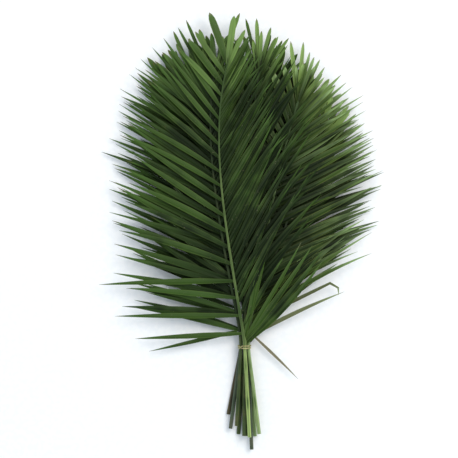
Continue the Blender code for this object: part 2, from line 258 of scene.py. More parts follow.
@dataclass(frozen=True)
class StemFinish:
    """Fresh cut palm petiole. Gives a smooth skin with long fibres, and a pale cut end with dark dots."""

    name: str
    dark: str
    light: str
    # Darker green of the rachis among its leaflets, partly painted shade of the leaflets over it
    leafy: str
    stain: str
    stain_share: float
    cut: str
    cut_dots: str
    roughness: float
    shine: float
    streak: float = 1.1
    streak_length: float = 42.0
    blot: float = 19.0
    dot: float = 0.9

    def build(self) -> Material:
        """Makes the material from the mesh numbers along, around, groove, cut and leafy.

        Returns:
            The material.
        """
        sheet = NodeSheet(self.name)
        names = ("along", "around", "groove", "cut", "leafy")
        along, around, groove, cut, leafy = map(sheet.attribute, names)
        # Fibres are 0.3 mm across. They are drawn about 1 mm across so that the picture can hold them
        unrolled = sheet.add("ShaderNodeCombineXYZ", None, {"X": along, "Y": around})
        scale = (self.streak / self.streak_length, 1.0, 1.0)
        drawn_out = sheet.add("ShaderNodeVectorMath", {"operation": "MULTIPLY"}, {0: unrolled, 1: scale})
        fibres = sheet.noise(self.streak, 3.0, drawn_out)
        colour = sheet.blend(sheet.ramp(fibres, 0.34, 0.56), self.dark, self.light)
        # The channel along the top is painted darker than the ridges beside it: painted shade in the groove
        colour = sheet.blend(sheet.math("MULTIPLY", groove, 0.7), colour, self.dark)
        blots = sheet.noise(self.blot, 4.0)
        colour = sheet.blend(sheet.ramp(blots, 0.5, 0.68, 0.0, self.stain_share), colour, self.stain)
        # Where leaflets grow, the rachis takes a darker green, partly painted shade of the leaflets over it
        colour = sheet.blend(sheet.math("MULTIPLY", leafy, 0.75), colour, self.leafy)
        # Towards its tip the rachis is painted darker: painted shade where it lies between the bases of its
        # leaflets
        colour = sheet.blend(sheet.ramp(along, 0.2, 0.32, 0.0, 0.85), colour, self.leafy)
        dots = {"Vector": sheet.place, "Scale": 1.0 / (self.dot * MM)}
        pith = sheet.add("ShaderNodeTexVoronoi", None, dots)
        face = sheet.blend(sheet.ramp((pith, "Distance"), 0.15, 0.4, 0.75, 0.0), self.cut, self.cut_dots)
        colour = sheet.add("ShaderNodeMix", {"data_type": "RGBA"}, {0: cut, "A": colour, "B": face})
        rough_leafy = sheet.ramp(leafy, 0.0, 1.0, self.roughness, 0.66)
        rough = sheet.math("MAXIMUM", sheet.ramp(cut, 0.0, 1.0, self.roughness, 0.85), rough_leafy)
        return sheet.finish(colour, rough, fibres, depth=0.16, ior=1.46, shine=self.shine)


@dataclass(frozen=True)
class RubberFinish:
    """Pale natural latex, cut from dipped tube. Gives a dull cream strand with a chalky bloom."""

    name: str = "natural latex rubber, dipped and cut, dull"
    dark: str = "#726C3A"
    light: str = "#C2BB84"
    bloom: str = "#E8E2BC"
    grain: float = 1.6
    cloud: float = 5.0

    def build(self) -> Material:
        """Makes the material from grain in object space.

        Returns:
            The material.
        """
        sheet = NodeSheet(self.name)
        grain = sheet.noise(self.grain, 4.0)
        cloud = sheet.noise(self.cloud)
        colour = sheet.blend(sheet.ramp(cloud, 0.3, 0.7), self.dark, self.light)
        colour = sheet.blend(sheet.ramp(grain, 0.52, 0.75, 0.0, 0.5), colour, self.bloom)
        rough = sheet.ramp(grain, 0.3, 0.7, 0.5, 0.66)
        return sheet.finish(colour, rough, grain, depth=0.05, ior=1.52, shine=0.6)


@dataclass(frozen=True)
class PaperFinish:
    """Uncoated white sweep paper. Gives an even matt ground with a trace of fibre."""

    name: str = "uncoated white paper, pressed and matt"
    sheet: str = "#F7F8F8"
    fibre: str = "#F3F5F6"
    cloud: float = 7.0

    def build(self) -> Material:
        """Makes the material from fibre clouds in object space.

        Returns:
            The material.
        """
        sheet = NodeSheet(self.name)
        cloud = sheet.noise(self.cloud, 5.0)
        colour = sheet.blend(sheet.ramp(cloud, 0.4, 0.6), self.sheet, self.fibre)
        rough = sheet.ramp(cloud, 0.3, 0.7, 0.86, 0.94)
        return sheet.finish(colour, rough, cloud, depth=0.02, ior=1.5, shine=0.5)


class LeafTone(Enum):
    """Which greens a frond's leaflets take."""

    FRONT = "front"
    LEFT = "left"
    RIGHT = "right"
    DEEP = "deep"


class StemTone(Enum):
    """How a frond's cut stem has coloured."""

    BRIGHT = "bright"
    FRESH = "fresh"
    OLIVE = "olive"
    GREY = "grey"
    BROWN = "brown"


LEAF_FINISHES = {
    tone: LeafFinish(f"palm leaflet, natural wax, {fronds}", *looks)
    for tone, fronds, *looks in (
        (LeafTone.FRONT, "front frond", "#081602", "#304816", "#18280C", "#44642A", "#4E6634", "#647A36",
         "#7A745C", 0.4, 0.35, 0.8, 0.42, 0.32, 0.3, 0.5),
        (LeafTone.LEFT, "left fronds", "#0A1804", "#304618", "#0C1806", "#46682A", "#46602E", "#5A6E30",
         "#655632", 0.3, 0.3, 0.8, 0.46, 0.3, 0.8, 0.8),
        # The right fronds' tips are the lightest: their own yellow-green, with painted light from the lamp's
        # side
        (LeafTone.RIGHT, "right fronds", "#0A1804", "#344A18", "#0E1A06", "#A2C280", "#4A5E2E", "#7E8E42",
         "#7A745C", 0.5, 0.3, 0.8, 0.46, 0.28, 0.75, 0.8, "#7E9A50"),
        # The lower fronds are darker, and dark further along their leaflets' bases: painted shade under the
        # fronds above
        (LeafTone.DEEP, "lower fronds", "#0A1806", "#283C14", "#0E1A08", "#40601F", "#40542A", "#56662E",
         "#5C4F2E", 0.35, 0.25, 0.8, 0.48, 0.25, 0.9, 0.85),
    )
}

UNDERSIDE = LeafFinish(
    "palm leaflet, dull underside", "#2A381E", "#44532F", "#4C5A36", "#42522B", "#5A6840", "#5A6238",
    "#8B7A4A", 0.2, 0.5, 0.6, 0.6, 0.25, 0.12, 0.55,
)

STEM_FINISHES = {
    tone: StemFinish(f"palm petiole, {state}", *looks)
    for tone, state, *looks in (
        (StemTone.BRIGHT, "fresh cut, yellow green", "#3E5822", "#A8BE72", "#2A4018", "#8E9A58", 0.15,
         "#D9DCB4", "#A79C6A", 0.4, 0.6),
        (StemTone.FRESH, "fresh cut, light green", "#4A6432", "#98AE74", "#2C401E", "#7C7F4C", 0.25,
         "#C9CBA0", "#8F8458", 0.42, 0.6),
        # The olive, grey and brown stems are drying, and darker in part as painted shade of the stems that
        # lie in shadow
        (StemTone.OLIVE, "cut and drying, olive", "#26341A", "#47572D", "#1E2C14", "#5E5536", 0.5,
         "#B9B68E", "#7C7048", 0.46, 0.5),
        (StemTone.GREY, "cut and drying, grey green", "#2C3828", "#4F5C48", "#1E2C14", "#5B5A48", 0.45,
         "#B4B596", "#746C4C", 0.48, 0.5),
        (StemTone.BROWN, "cut and drying, brown", "#2E2A1A", "#524C30", "#2A3C1C", "#4B3D28", 0.6,
         "#A79E78", "#6B5C3C", 0.5, 0.5),
    )
}


@dataclass(frozen=True)
class BundleSize:
    """The stems at the tie and below it: columns across and rows up."""

    cut_radius: float = 2.6
    tie_radius: float = 2.25
    column_pitch: float = 5.3
    row_pitch: float = 5.0
    end_row_pitch: float = 5.55
    tie_lift: float = 1.9
    settle_length: float = 55.0
    turn_before: float = 20.0
    turn_length: float = 60.0


@dataclass(frozen=True)
class RachisSize:
    """The stem of a frond beyond the tie, and the mesh that shows it."""

    tip_radius: float = 0.7
    taper_power: float = 0.6
    flatness: float = 0.74
    ring_gap: float = 4.0
    sides: int = 16
    channel: float = 0.16
    channel_width: float = 0.42
    bare_channel: float = 0.5
    swelling: float = 0.42
    swelling_reach: float = 3.6
    swelling_out: float = 0.9
    bevel: float = 0.3
    end_rings: tuple[float, float, float] = (0.55, 0.9, 0.4)
    leafy_before: float = 16.0
    leafy_length: float = 20.0
    crease: float = 50.0


@dataclass(frozen=True)
class LeafletSize:
    """The leaflets of a frond, as the CAD source has them, with the finer blade that is shown."""

    length: float = 166.0
    width: float = 11.0
    width_taper: float = 0.3
    fold: float = 13.0
    base_fold: float = 22.0
    fold_fade: float = 14.0
    thickness: float = 0.3
    edge_thickness: float = 0.35
    full_thickness: float = 3.0
    least_room: float = 0.05
    crease: float = 24.0
    arch: float = 0.1
    roll: float = 9.0
    tip_roll: float = 12.0
    base_reach: float = 6.0
    base_station: float = 0.42
    basal_part: float = 0.38
    basal_width: float = 0.88
    closing: float = 0.3
    widest: float = 0.34
    root_share: float = 0.34
    base_share: float = 0.58
    tapered: float = 0.97
    taper_power: float = 1.75
    upper_power: float = 8.0
    upper_part: Pair = (0.82, 1.0)
    pointed: float = 0.08
    pointed_start: float = 0.45
    pointed_rise: float = 0.15
    pointed_end: float = 0.93
    open_part: Pair = (0.04, 0.2)
    low_narrowing: float = 0.2
    low_part: float = 0.4
    low_angle: float = 58.0
    angle_closing: float = 14.0
    tip_closing: float = 36.0
    tip_power: int = 8
    length_terms: tuple[float, float, float] = (0.84, 0.7, -1.25)
    hook_place: float = 0.7
    hook_reach: float = 13.0
    kink_half: float = 0.06
    curve_lead: float = 0.165
    stations: tuple[float, ...] = (0.05, 0.18, 0.34, 0.5, 0.64, 0.76, 0.87, 0.95, 1.0)
    # The right rows take lower tones than the left: painted shade of leaflets that turn away from the light
    left_tones: Pair = (0.2, 0.95)
    right_shaded_tones: Pair = (-0.1, 0.45)
    young_and_lit_start: float = 0.6
    young_and_lit_lift: float = 0.45
    light_tone: float = 0.5
    top_part: float = 0.9
    first_seed: int = 100
    # Lowest and highest random angle, length, width, curve, roll and fall, drawn in this order
    ranges: tuple[Pair, ...] = (
        (-2.5, 2.5), (0.94, 1.06), (0.86, 1.1), (-3.0, 10.0), (-5.0, 5.0), (0.0, 0.32),
    )
    added_ranges: tuple[Pair, ...] = (
        (-6.0, 5.0), (0.82, 1.0), (0.6, 0.9), (-6.0, 14.0), (-9.0, 9.0), (0.12, 0.4),
    )


@dataclass(frozen=True)
class Side:
    """One side of a frond: its first leaflet's place and angle, the others' spread, count and narrowing.

    The plant has more leaflets than the CAD. Between the shares called added, each two get another here.
    """

    first: float
    basal: float
    spread: float
    count: int
    narrow: float = 1.0
    added: Pair = (0.0, 1.0)

    def between(self) -> Array:
        """Places of the added leaflets: shares of the row, each halfway between two leaflets."""
        steps = (np.arange(self.count - 1) + 0.5) / (self.count - 1)
        return steps[(steps > self.added[0]) & (steps < self.added[1])]


@dataclass(frozen=True)
class FrondPlan:
    """One frond: its layer, its place in the bundle, its route, its rows of leaflets and its greens."""

    layer: int
    row: int
    column: int
    lean: float
    bend: float
    length: float
    cut: Pair
    left: Side
    right: Side
    leaves: LeafTone
    stem: StemTone


@dataclass(frozen=True)
class Extra:
    """A leaflet of the visual model alone: its frond and side, its place and shape, and how light it is."""

    layer: int
    side: int
    place: float
    angle: float
    length: float
    width: float
    tone: float
    curve: float = 0.0


# Where a hidden row starts, and the upper part of a row
INNER = 62.0
UPPER = (0.2, 1.0)
FRONDS = tuple(
    FrondPlan(*place, Side(*left), Side(*right), LeafTone(leaves), StemTone(stem))
    for place, left, right, leaves, stem in (
        ((1, 0, 0, -4, -6, 378, (-8.7, -120.8)), (INNER, 60, 1.0, 14), (INNER, 56, 1.1, 13), "deep", "olive"),
        ((2, 0, 1, 13, 8, 336, (15.1, -123.6)), (INNER, 58, 1.0, 11), (5, 35, 0.94, 20), "right", "fresh"),
        ((3, 0, -1, -12.5, -6, 366, (-23.1, -93.4)), (24, 60, 0.95, 20, 1.0, UPPER),
         (INNER, 50, 1.1, 11), "left", "brown"),
        ((4, 1, 0, 6, 2, 366, (3.2, -122.9)), (INNER, 60, 1.1, 13), (INNER, 52, 0.9, 13), "deep", "olive"),
        ((5, 1, -1, -8, -9, 374, (-19.9, -112.6)), (22, 66, 0.9, 20, 1.0, UPPER),
         (INNER, 52, 1.0, 12), "left", "grey"),
        ((6, 1, 1, 18, 6, 308, (10.4, -141.4)), (INNER, 58, 0.9, 11),
         (19, 27, 0.85, 21, 0.85), "right", "grey"),
        ((7, 2, 1, 10, 8, 344, (20.6, -119.5)), (INNER, 56, 1.0, 12),
         (13, 32, 1.0, 22, 0.8), "right", "fresh"),
        ((8, 2, 0, 1, 8, 378, (-0.8, -122.2)), (INNER, 58, 1.0, 13),
         (INNER, 36, 0.64, 20, 0.75), "deep", "olive"),
        ((9, 2, -1, -11, 20, 378, (-11.5, -108.5)), (23, 80, 0.96, 20, 1.0, UPPER),
         (72, 40, 0.7, 20, 0.75), "left", "olive"),
        ((10, 3, 0, -9.7, 24, 390, (6.5, -123.6)), (19, 84, 0.98, 20, 0.92, (0.0, 0.0)),
         (8, 32, 0.66, 28, 0.7, (0.1, 0.92)), "front", "bright"),
    )
)

# Leaflets that stray from the rule: (layer, side, index) gives angle, length, width, tip's bend and tone.
# From tone 1.5 to 2 a leaflet dries. A tone near 1 lights a leaflet that lies open to the light: painted
# light
STRAYS = {
    (6, 1, 0): (119, 86, 4, 0, 2.0),
    (6, 1, 1): (46, 172, 5, 112, 1.7),
    (7, 1, 0): (56, 140, 6, 0, 1.75),
    (7, 1, 1): (27, 116, 6.5, 0, 0.9),
    (9, -1, 0): (96, 122, 6, 0, None),
    (10, -1, 1): (80, 166, 8, 0, 1.0),
    (10, -1, 3): (80, 180, 8.5, 0, 1.0),
    (10, -1, 16): (44, 80, 8, 0, None),
    (10, -1, 17): (45, 74, 9.5, 0, None),
    (10, -1, 18): (47, 66, 8, 0, None),
    (10, -1, 19): (31, 70, 11, 0, None),
    (10, 1, 0): (17, 112, 7, 0, 0.9),
    (10, 1, 1): (33, 106, 7.5, 0, 0.3),
    (10, 1, 26): (11, 58, 7, 0, None),
    (10, 1, 27): (-5, 62, 9.5, 0, None),
}

# Long points round the rim, new light tips at the top, partly painted light, and the fan of broad leaflets
# beside the tie. By frond and side, each has its place, angle, length, width and tone, and some a curve
EXTRAS = tuple(
    Extra(layer, side, *row)
    for layer, side, rows in (
        (3, -1, ((363, 27, 59, 6, 1), (54, 57, 112, 6.5, 0.8))),
        (5, -1, ((371, 7, 69, 6, 1.1), (98, 72, 146, 8, 0.5), (46, 69, 124, 7, 0.9))),
        (7, -1, ((341, 24, 80, 6, 1.5), (340, 12, 80, 6, 1.5), (339, 4, 69, 5, 1))),
        (7, 1, (
            (341, 2, 62, 5, 0.8), (337, 9, 66, 5, 1.1), (324, 16, 73, 5, 0.8), (310, 29, 92, 5, 1.2),
            (301, 34, 98, 5, 0.9), (292, 37, 108, 5, 1.1), (286, 44, 119, 5.5, 1.2), (273, 44, 123, 5, 0.9),
            (261, 46, 128, 5, 1.1), (191, 49, 162, 5.5, 1), (171, 54, 168, 6, 1.1), (51, 43, 190, 6, 1, 6),
            (38, 41, 184, 7, 0.9, 16), (236, 51, 140, 7, 0.9), (218, 50, 148, 7, 1),
        )),
        (8, -1, ((375, 22, 72, 5, 1), (375, 11, 70, 6, 1.4))),
        (8, 1, ((376, 6, 59, 6, 1.4),)),
        (8, -1, ((374, 5, 54, 6, 1.5),)),
        (8, 1, ((374, 16, 50, 5, 1.2), (372, 26, 52, 5, 1), (366, 28, 66, 5, 1.3))),
        (9, -1, (
            (365, 30, 88, 5.5, 0.9), (355, 34, 92, 5, 0.6), (332, 37, 109, 6, 0.8), (321, 42, 117, 6, 0.5),
            (309, 47, 126, 6, 0.8), (290, 50, 136, 6.5, 0.6), (284, 57, 139, 6.5, 0.8),
            (317, 57, 119, 5, 0.4), (256, 53, 145, 6, 0.5), (375, 26, 61, 8, 1.2), (88, 65, 157, 8, 0.7),
            (145, 65, 156, 7, 0.6), (170, 59, 158, 7, 0.8), (210, 55, 149, 7, 0.6),
        )),
        (9, 1, ((375, 14, 87, 7.5, 1.3),)),
        (9, -1, ((50, 62, 124, 7, 0.95),)),
        (10, 1, (
            (4, 58, 150, 8.5, 0.6, -15), (5, 51, 162, 8.5, 0.35, -9), (7, 44, 156, 8, 0.6, -5),
            (9, 38, 150, 6, 1.1, -3), (11, 22, 124, 5.5, 1.1, -2),
        )),
    )
    for row in rows
)


@dataclass(frozen=True)
class Pile:
    """The stack of fronds: one layer each, thick in the middle of the pile and thin at its rim."""

    bundle: BundleSize = BundleSize()
    full_pitch: float = 5.2
    offset: float = 0.45
    spread: float = 105.0
    thinning: float = 0.62
    centre: Pair = (0.0, 190.0)
    reach: float = 260.0
    narrowing: float = 0.55
    room: float = 0.46

    def pitch(self, spot: Array) -> Array:
        """Height from layer to layer over points: full at the centre, easing down by distance from it."""
        away = np.hypot(spot[..., 0] - self.centre[0], self.narrowing * (spot[..., 1] - self.centre[1]))
        return self.full_pitch * (1.0 - self.thinning * smoothstep(away / self.reach))

    def stem_height(self, row: int, y: Array) -> Array:
        """Height of a stem's centre at and below the tie: its row's, easing to the cut end's.

        Args:
            row: the stem's row in the bundle.
            y: places along the bundle.

        Returns:
            Heights.
        """
        size = self.bundle
        at_tie = size.tie_lift + size.tie_radius + row * size.row_pitch
        at_end = size.cut_radius + row * size.end_row_pitch
        return mix(at_tie, at_end, smoothstep(-y / size.settle_length))

    def height(self, plan: FrondPlan, spot: Array) -> Array:
        """Height of a frond's middle surface: the bundle's near the tie, easing into its layer's beyond.

        Args:
            plan: the frond.
            spot: points.

        Returns:
            Heights.
        """
        y = spot[..., 1]
        near = self.stem_height(plan.row, np.minimum(y, 0.0))
        far = (plan.layer - self.offset) * self.pitch(spot)
        return mix(near, far, smoothstep(y / self.spread))


@dataclass
class Route:
    """A frond's centre line in plan, walked in 1 mm steps up from the tie and down to the cut end."""

    plan: FrondPlan
    bundle: BundleSize

    def __post_init__(self) -> None:
        """Walks the route."""
        plan = self.plan
        self.start = np.array([plan.column * self.bundle.column_pitch, 0.0])
        self.stem = math.hypot(plan.cut[0] - self.start[0], plan.cut[1])
        self.stem_heading = math.degrees(math.atan2(self.start[0] - plan.cut[0], -plan.cut[1]))
        up = self.walk(math.ceil(plan.length) + 1, 1.0)
        down = self.walk(math.ceil(self.stem) + 1, -1.0)
        self.places = np.arange(1 - len(down), len(up), dtype=float)
        self.points = np.concatenate([down[:0:-1], up])

    def heading(self, s: Array) -> Array:
        """Angle from +Y: the stem's heading, easing to the lean round the tie, plus a bend by the cube of s.

        Args:
            s: distances from the tie along the route.

        Returns:
            Headings in radians.
        """
        turned = smoothstep((s + self.bundle.turn_before) / self.bundle.turn_length)
        held = mix(self.stem_heading, self.plan.lean, turned)
        return np.radians(held + self.plan.bend * (np.maximum(s, 0.0) / self.plan.length) ** 3)

    def walk(self, count: int, step: float) -> Array:
        """Points from the tie: the running sum of steps along the heading at each step's middle."""
        moves = step * forward(self.heading((np.arange(count) + 0.5) * step))
        return self.start + np.concatenate([np.zeros((1, 2)), np.cumsum(moves, axis=0)])

    def at(self, s: Array) -> Array:
        """Points on the route at distances from the tie."""
        return np.stack([np.interp(s, self.places, self.points[:, i]) for i in range(2)], axis=-1)


def sweep_faces(count: int, rings: int, sides: int, looped: bool = False) -> Array:
    """Quads round many like sweeps laid out one after another, then across their first and last rings.

    Args:
        count: number of sweeps.
        rings: rings in each.
        sides: points in each ring, an even number.
        looped: whether the last ring joins the first and there are no ends.

    Returns:
        Vertex numbers, four to a face, facing outward when a ring turns left round its sweep.
    """
    ring = np.arange(rings if looped else rings - 1)
    side = np.arange(sides)
    low = ring[:, None] * sides
    high = (ring[:, None] + 1) % rings * sides
    after = (side + 1) % sides
    around = np.stack([low + side, low + after, high + after, high + side], axis=-1).reshape(-1, 4)
    i = np.arange(0 if looped else sides // 2 - 1)
    last = np.stack([i, i + 1, sides - 2 - i, sides - 1 - i], axis=-1)
    ends = np.concatenate([last[:, ::-1], last + (rings - 1) * sides])
    starts = np.arange(count)[:, None, None] * rings * sides
    return np.concatenate([(quads + starts).reshape(-1, 4) for quads in (around, ends)])


@dataclass
class Piece:
    """A mesh piece as arrays, before Blender gets it."""

    name: str
    points: Array
    faces: Array
    materials: list[Material]
    crease: float
    numbers: dict[str, Array] = field(default_factory=dict)
    material_index: Array | None = None

    def make(self, shift: Array) -> Object:
        """Makes the object, shaded smooth with its creases kept sharp.

        Args:
            shift: where the tie's middle lies in the frame.

        Returns:
            The object, at the origin, with its place in its vertices.
        """
        mesh = bpy.data.meshes.new(self.name)
        moved = (self.points.reshape(-1, 3) + np.append(shift, 0.0)) * MM
        mesh.vertices.add(len(moved))
        mesh.vertices.foreach_set("co", moved.astype(np.float32).ravel())
        mesh.loops.add(self.faces.size)
        mesh.loops.foreach_set("vertex_index", self.faces.astype(np.int32).ravel())
        mesh.polygons.add(len(self.faces))
        mesh.polygons.foreach_set("loop_start", np.arange(len(self.faces), dtype=np.int32) * 4)
        if self.material_index is not None:
            mesh.polygons.foreach_set("material_index", self.material_index.astype(np.int32))
        mesh.update(calc_edges=True)
        mesh.shade_smooth()
        mesh.set_sharp_from_angle(angle=math.radians(self.crease))
        for name, values in self.numbers.items():
            made = mesh.attributes.new(name, "FLOAT", "POINT")
            spread = np.broadcast_to(values, self.points.shape[:-1])
            made.data.foreach_set("value", spread.astype(np.float32).ravel())
        for material in self.materials:
            mesh.materials.append(material)
        piece = bpy.data.objects.new(self.name, mesh)
        bpy.context.scene.collection.objects.link(piece)
        return piece


@dataclass
class Frond:
    """One feather frond: a tapering stem with two rows of folded leaflets."""

    plan: FrondPlan
    pile: Pile
    rachis: RachisSize = RachisSize()
    size: LeafletSize = LeafletSize()

    def __post_init__(self) -> None:
        """Fills the arrays of leaflets: left row from the tie up, right row, those between, then extras."""
        plan, size = self.plan, self.size
        self.node = f"frond_{plan.layer:02d}"
        self.route = Route(plan, self.pile.bundle)
        draw = random.Random(size.first_seed + plan.layer)
        pair = (plan.left, plan.right)
        regular = plan.left.count + plan.right.count
        steps = [np.linspace(0.0, 1.0, row.count) for row in pair] + [row.between() for row in pair]
        extras = [extra for extra in EXTRAS if extra.layer == plan.layer]
        step = np.concatenate([*steps, np.zeros(len(extras))])
        own = [[draw.uniform(*ends) for ends in size.ranges] for _ in range(regular)]
        added = [[draw.uniform(*ends) for ends in size.added_ranges] for _ in range(len(step) - regular)]
        drawn = np.array(own + added).T
        rows = np.repeat([-1.0, 1.0, -1.0, 1.0], [len(part) for part in steps])
        self.side = np.concatenate([rows, [float(extra.side) for extra in extras]])
        right = (self.side > 0).astype(int)
        both = [(row.first, row.basal, row.spread, row.narrow) for row in pair]
        first, basal, spread, narrow = np.array(both).T[:, right]
        placed = (1 + size.closing) * step - size.closing * step**2
        self.s = mix(first, plan.length - self.rachis.tip_radius, placed)
        last = slice(len(rows), None)
        self.s[last] = [extra.place for extra in extras]
        self.share = share = self.s / plan.length
        eased = smoothstep(share / size.basal_part)
        closed = size.angle_closing * share + size.tip_closing * share**size.tip_power
        self.angle = mix(basal, spread * (size.low_angle - closed), eased) + drawn[0]
        self.length = size.length * np.polyval(size.length_terms[::-1], share) * drawn[1]
        tapered = size.width * (1 - size.width_taper * share) * drawn[2]
        lower = 1 - size.low_narrowing * (1 - right) * (1 - smoothstep(share / size.low_part))
        self.width = tapered * mix(size.basal_width, 1.0, eased) * (narrow * lower)
        # Upper leaflets on the left end in long points here, and in the CAD source in blunt ends
        upper = smoothstep((share - size.pointed_start) / size.pointed_rise) * (share < size.pointed_end)
        self.length *= 1 + size.pointed * (1 - right) * upper
        self.curve = np.radians(drawn[3])
        self.roll = self.side * np.radians(size.roll + size.tip_roll * share + drawn[4])
        self.fall = drawn[5] if plan.layer > 1 else np.full(len(step), 1.0 - self.pile.offset)
        self.hook = np.zeros(len(step))
        for name in ("angle", "length", "width"):
            getattr(self, name)[last] = [getattr(extra, name) for extra in extras]
        self.curve[last] = np.radians([extra.curve for extra in extras])
        start, end = size.open_part
        self.deep = smoothstep((share - start) / (end - start))
        young_and_lit = smoothstep((share - size.young_and_lit_start) / (1 - size.young_and_lit_start))
        # Tones are random, lower in the right rows as painted shade, and raised near the frond's end, partly
        # as painted light
        low, high = np.array([size.left_tones, size.right_shaded_tones]).T[:, right]
        shades = np.random.default_rng(plan.layer)
        self.tone = mix(low, high, shades.random(len(step))) + size.young_and_lit_lift * young_and_lit
        self.young_and_lit = young_and_lit * shades.random(len(step))
        self.tone[last] = [extra.tone for extra in extras]
        light = np.clip(self.tone[last] - size.light_tone, 0.0, 1.0)
        self.young_and_lit[last] = light * (share[last] > size.top_part)
        for (layer, side, number), (angle, length, width, hook, tone) in STRAYS.items():
            if layer == plan.layer:
                i = number + (plan.left.count if side > 0 else 0)
                self.angle[i], self.length[i], self.width[i] = angle, length, width
                self.hook[i] = math.radians(hook)
                self.tone[i] = self.tone[i] if tone is None else tone

    def blade_width(self, u: Array, before: Array) -> Array:
        """Share of the full width: narrow in the rachis, a quarter sine to the widest place, a power down.

        Args:
            u: share of the blade's length, 0 and below at its base.
            before: 0 at the rachis axis to 1 where the blade starts.

        Returns:
            Width shares, almost 0 at the tip.
        """
        size = self.size
        rising = mix(size.base_share, 1.0, np.sin(QUARTER_TURN * np.clip(u / size.widest, 0.0, 1.0)))
        start, end = size.upper_part
        upper = smoothstep((self.share - start) / (end - start))[:, None]
        power = mix(size.taper_power, size.upper_power, upper)
        falling = size.tapered * np.clip((u - size.widest) / (1 - size.widest), 0.0, 1.0) ** power
        return mix(size.root_share, rising - falling, before)

    def leaflets(self, upper: Material, under: Material) -> Piece:
        """All leaflets as one sweep array of (leaflet, station, corner).

        A blade's centre line is the running sum of steps along its heading, which turns evenly along it. Its
        section has six corners: two edges, two arched half blades, and the rib's top and foot. Heights are
        the layer's, less a fall towards the tip, plus the section squeezed into the layer's room.

        Args:
            upper: finish of the upper faces.
            under: finish of the undersides.

        Returns:
            The piece.
        """
        size = self.size
        base = np.array([-size.base_reach, -size.base_station * size.base_reach])
        tail = np.array(size.stations)
        u = np.tile(np.concatenate([base / size.length, tail]), (len(self.s), 1))
        reach = np.where(self.hook > 0, size.hook_reach, self.length * (1 - size.hook_place))[:, None]
        body = self.length[:, None] * np.minimum(tail, size.hook_place)
        beyond = reach * np.clip((tail - size.hook_place) / (1 - size.hook_place), 0.0, 1.0)
        run = np.concatenate([np.broadcast_to(base, (len(self.s), 2)), body + beyond], axis=1)
        middle = np.maximum((u[:, 1:] + u[:, :-1]) / 2, 0.0)
        kink = smoothstep((middle - size.hook_place + size.kink_half) / (2 * size.kink_half))
        start = self.route.heading(self.s) + self.side * np.radians(self.angle)
        curved = self.curve[:, None] * np.where(middle > 0, middle + size.curve_lead, 0.0)
        between = start[:, None] + self.side[:, None] * (curved + self.hook[:, None] * kink)
        moves = np.diff(run, axis=1)[..., None] * forward(between)
        root = self.route.at(self.s)[:, None, :]
        centre = np.concatenate([root, root + np.cumsum(moves, axis=1)], axis=1)
        joints = (between[:, 1:] + between[:, :-1]) / 2
        faced = np.concatenate([between[:, :1], joints, between[:, -1:]], axis=1)

        before = np.clip(run / size.base_reach + 1.0, 0.0, 1.0)
        half = self.width[:, None] / 2 * self.blade_width(u, before)
        fold = np.radians(size.fold + size.base_fold * np.exp(-np.maximum(run, 0.0) / size.fold_fade))
        thick = size.thickness * mix(size.edge_thickness, 1.0, np.clip(half / size.full_thickness, 0.0, 1.0))
        edge = half * np.tan(fold) / 2
        arched = thick / 2 + size.arch * half
        across = np.array([-1.0, -0.5, 0.0, 0.5, 1.0, 0.0])
        x = half[..., None] * across
        z = np.stack([edge, arched, thick - edge, arched, edge, -thick - edge], axis=-1)
        level, tilt = np.cos(self.roll)[:, None, None], np.sin(self.roll)[:, None, None]
        x, z = x * level - z * tilt, x * tilt + z * level

        pitch = self.pile.pitch(centre)
        held = np.clip(u, 0.0, 1.0)
        drop = -self.fall[:, None] * pitch * (held**2 + held**6) / 2
        room = np.maximum(self.pile.room * pitch - np.abs(drop), size.least_room)
        squeeze = np.minimum(1.0, room / np.abs(z).max(axis=-1))
        spot = centre[:, :, None, :] + forward(faced + QUARTER_TURN)[:, :, None, :] * x[..., None]
        height = self.pile.height(self.plan, spot) + drop[..., None] + z * squeeze[..., None]
        points = np.concatenate([spot, np.maximum(height, 0.0)[..., None]], axis=-1)

        count, rings, sides = points.shape[:3]
        # Corners run from the left edge over the top, which is to the right round the blade
        faces = sweep_faces(count, rings, sides)[:, ::-1]
        # The last two of a ring's faces lie underneath, and the caps come after all rings
        number = np.arange(len(faces))
        below = (number < count * (rings - 1) * sides) & (number % sides >= sides - 2)
        numbers = {name: getattr(self, name)[:, None, None] for name in ("tone", "young_and_lit", "deep")}
        numbers |= {"along": held[..., None], "across": -self.side[:, None, None] * across}
        return Piece(self.node + "_leaflets", points, faces, [upper, under], size.crease, numbers, below)

    def radius(self, s: Array) -> Array:
        """Half width of the stem: easing from the cut end to the tie, then a power taper to the tip.

        Args:
            s: distances from the tie.

        Returns:
            Radii.
        """
        bundle, size = self.pile.bundle, self.rachis
        below = mix(bundle.tie_radius, bundle.cut_radius, smoothstep(-s / bundle.settle_length))
        share = np.clip(s / self.plan.length, 0.0, 1.0)
        return np.where(s < 0, below, mix(bundle.tie_radius, size.tip_radius, share**size.taper_power))

